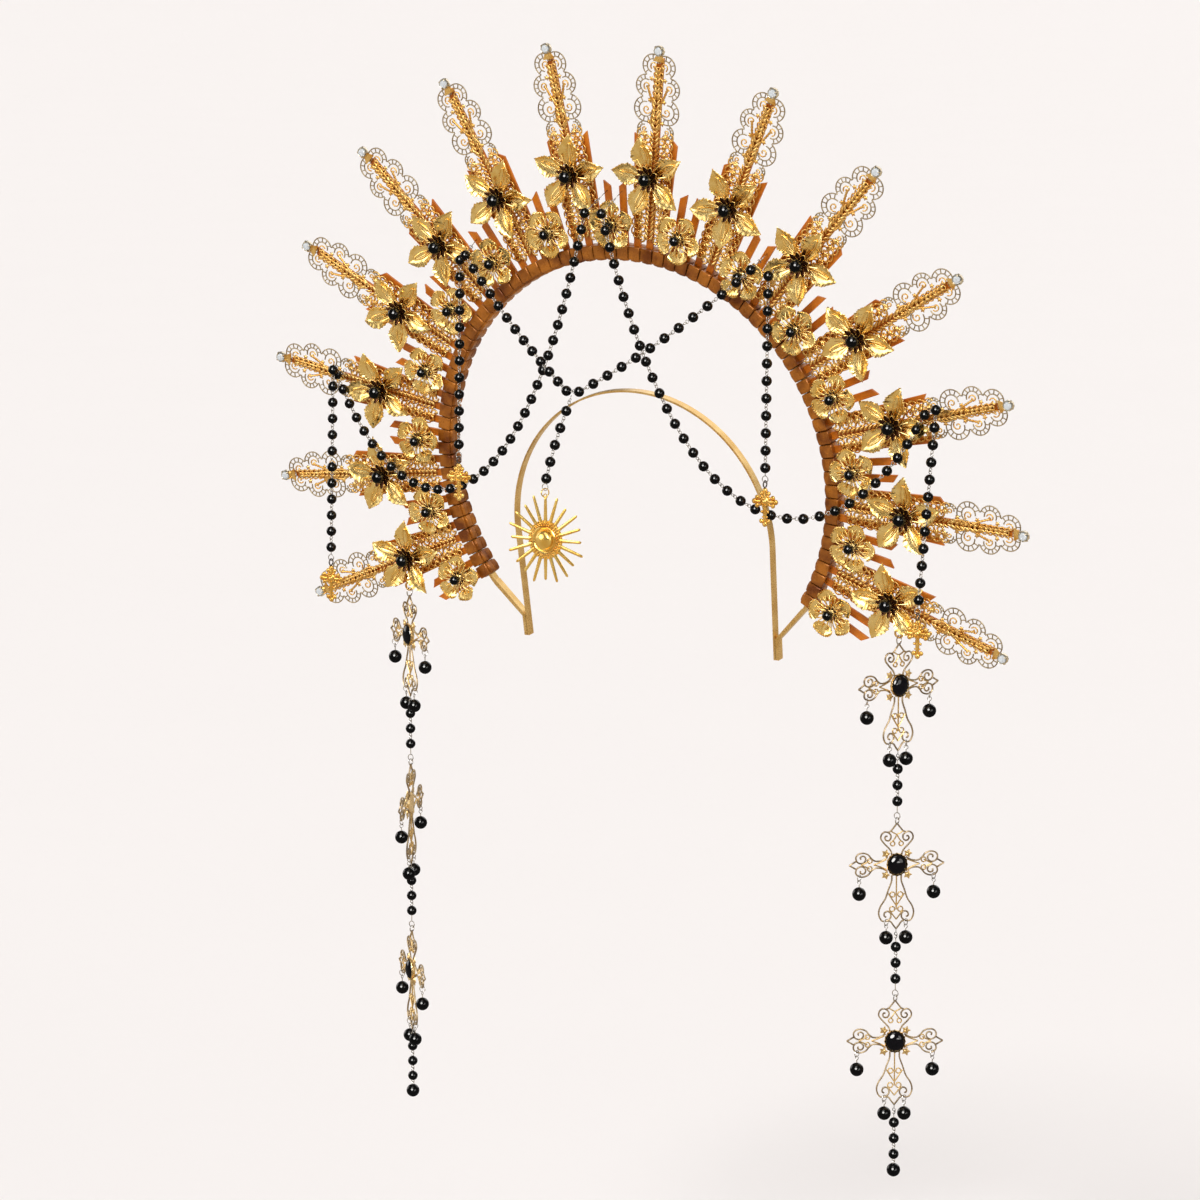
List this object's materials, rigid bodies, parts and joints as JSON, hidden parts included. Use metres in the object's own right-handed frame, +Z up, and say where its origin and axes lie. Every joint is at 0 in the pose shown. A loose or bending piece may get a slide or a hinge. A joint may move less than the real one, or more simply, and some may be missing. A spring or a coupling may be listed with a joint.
{
  "type": "halo crown",
  "caption": "Halo crown: pierced gold leaf rays, flowers and black beads on a tied hoop over a headband, with bead swags, a sun pendant and long cross drops.",
  "frame": {"origin": "underside of the headband at its top, where it sits on the head", "axes": "+Z up, wearer faces -Y, +X to the right as seen from the front; the halo leans 8.5 degrees forward"},
  "size_m": [0.5108, 0.1439, 0.6558],
  "materials": {
    "gold_strip": "bright gold",
    "amber_ties": "translucent amber",
    "leaf_gold": "satin gold",
    "petal_gold": "stamped gold",
    "black_beads": "glossy black",
    "silver_wire": "bright",
    "cast_gold": "antique gold",
    "black_stone": "glossy black"
  },
  "bodies": {
    "crown": {"headband": "gold_strip", "hoop": "gold_strip", "straps": "amber_ties", "leaf_01": "leaf_gold", "leaf_02": "leaf_gold", "leaf_03": "leaf_gold", "leaf_04": "leaf_gold", "leaf_05": "leaf_gold", "leaf_06": "leaf_gold", "leaf_07": "leaf_gold", "leaf_08": "leaf_gold", "leaf_09": "leaf_gold", "leaf_10": "leaf_gold", "leaf_11": "leaf_gold", "leaf_12": "leaf_gold", "leaf_13": "leaf_gold", "leaf_14": "leaf_gold", "large_flower_01": "petal_gold", "large_flower_02": "petal_gold", "large_flower_03": "petal_gold", "large_flower_04": "petal_gold", "large_flower_05": "petal_gold", "large_flower_06": "petal_gold", "large_flower_07": "petal_gold", "large_flower_08": "petal_gold", "large_flower_09": "petal_gold", "large_flower_10": "petal_gold", "large_flower_11": "petal_gold", "large_flower_12": "petal_gold", "large_flower_13": "petal_gold", "large_flower_14": "petal_gold", "small_flowers": "petal_gold", "large_flower_beads": "black_beads", "small_flower_beads": "black_beads", "swag_left_beads": "black_beads", "swag_right_beads": "black_beads", "swag_front_beads": "black_beads", "inner_left_beads": "black_beads", "inner_right_beads": "black_beads", "outer_left_beads": "black_beads", "outer_right_beads": "black_beads", "forehead_beads": "black_beads", "chain_wires": "silver_wire", "charms": "cast_gold"},
    "sun_drop": {"sun_pendant": "cast_gold"},
    "left_drop": {"left_cross_1": "cast_gold", "left_cross_2": "cast_gold", "left_cross_3": "cast_gold", "left_cabochon_1": "black_stone", "left_cabochon_2": "black_stone", "left_cabochon_3": "black_stone", "left_drop_beads": "black_beads"},
    "right_drop": {"right_cross_1": "cast_gold", "right_cross_2": "cast_gold", "right_cross_3": "cast_gold", "right_cabochon_1": "black_stone", "right_cabochon_2": "black_stone", "right_cabochon_3": "black_stone", "right_drop_beads": "black_beads"}
  },
  "joints": [
    {"name": "sun_pendant_swing", "type": "hinge", "parent": "crown", "child": "sun_drop", "pos_m": [0, -0.09655, -0.04688], "axis": [1, 0, 0], "range_deg": [-25, 25]},
    {"name": "left_drop_swing", "type": "hinge", "parent": "crown", "child": "left_drop", "pos_m": [-0.168, 0.01689, -0.13332], "axis": [1, 0, 0], "range_deg": [-30, 30]},
    {"name": "right_drop_swing", "type": "hinge", "parent": "crown", "child": "right_drop", "pos_m": [0.168, 0.01689, -0.13332], "axis": [1, 0, 0], "range_deg": [-30, 30]}
  ]
}
